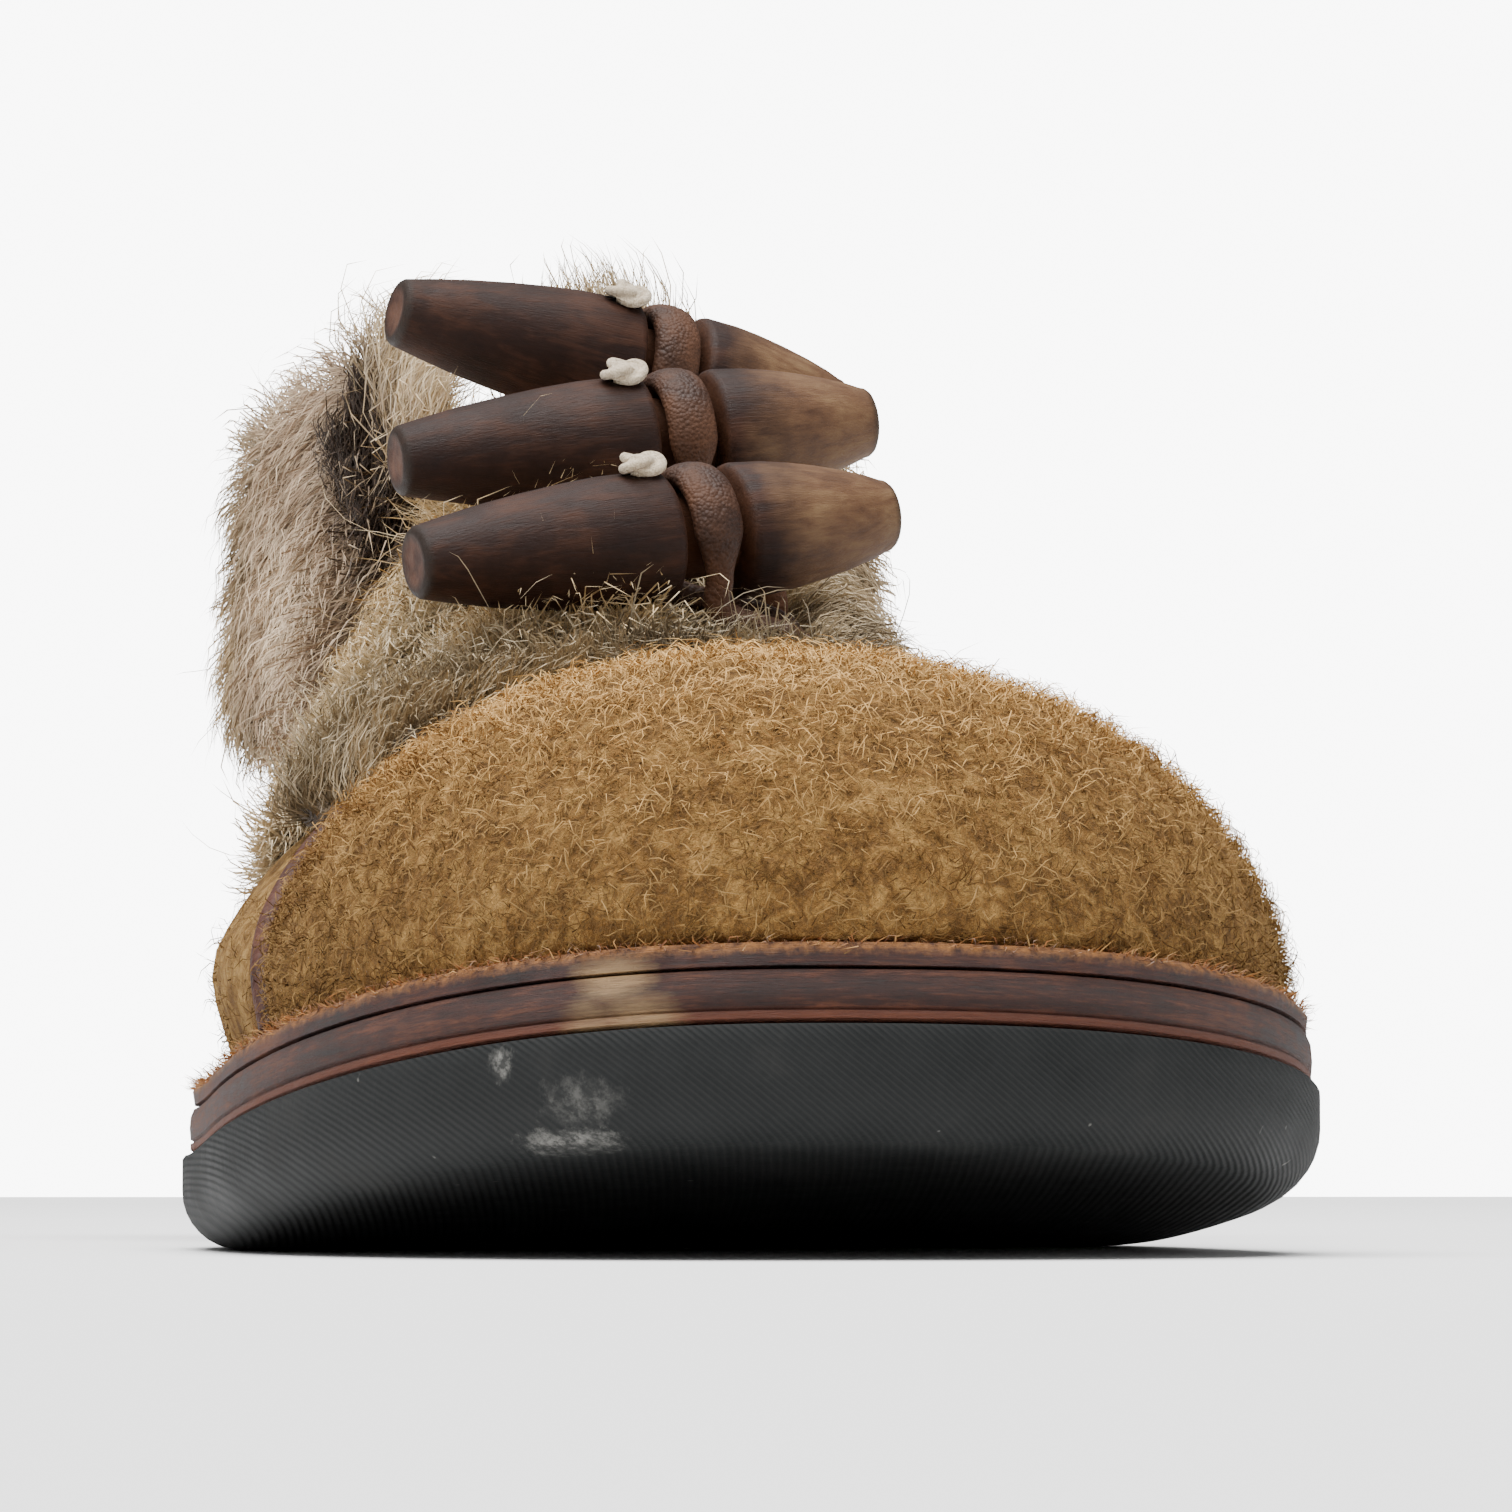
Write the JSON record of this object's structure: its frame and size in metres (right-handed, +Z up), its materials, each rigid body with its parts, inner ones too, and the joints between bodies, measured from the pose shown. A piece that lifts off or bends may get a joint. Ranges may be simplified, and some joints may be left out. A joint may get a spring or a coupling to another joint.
{
  "type": "felt and fur toggle shoe",
  "caption": "Left shoe with a wool felt toe, fur straps closed by turned wooden toggles, a fur collar, a leather midsole, a rubber sole and a stacked heel, worn on the foot.",
  "frame": {"origin": "on the floor, under the middle of the outsole's length and width", "axes": "+Z up, the toe points along -Y, +X to the outer side of the left foot"},
  "size_m": [0.1044, 0.3, 0.1061],
  "materials": {
    "rubber": "matt charcoal rubber with fine slanting ribs and a few scuffs",
    "sole_leather": "dark red-brown burnished leather edge with fine lines along it",
    "welt_suede": "raw orange-brown suede with a frayed edge",
    "insole_leather": "smooth tan lining leather",
    "panel_suede": "soft tan suede",
    "felt": "thick camel wool felt with a fuzzy, mottled surface",
    "piping_leather": "dark brown leather bead",
    "lining_felt": "dark brown felt",
    "fur": "natural fur, ticked in black, brown, gold and cream",
    "toggle_wood": "turned wood, dark brown stain, satin",
    "cream_cord": "cream twisted cord",
    "loop_leather": "round brown leather thong"
  },
  "bodies": {
    "root": {"outsole": "rubber", "heel_cap": "rubber", "midsole": "sole_leather", "heel_stack": "sole_leather", "welt": "welt_suede", "insole": "insole_leather", "upper": "panel_suede", "toe_cap": "felt", "piping_medial": "piping_leather", "piping_lateral": "piping_leather", "tongue": "lining_felt", "fur_vamp": "fur", "fur_lateral": "fur", "fur_collar": "fur", "strap_1": "fur", "strap_2": "fur", "strap_3": "fur", "toggle_1": "toggle_wood", "toggle_2": "toggle_wood", "toggle_3": "toggle_wood", "tie_1": "cream_cord", "tie_2": "cream_cord", "tie_3": "cream_cord", "loop_1": "loop_leather", "loop_2": "loop_leather", "loop_3": "loop_leather"}
  },
  "joints": []
}
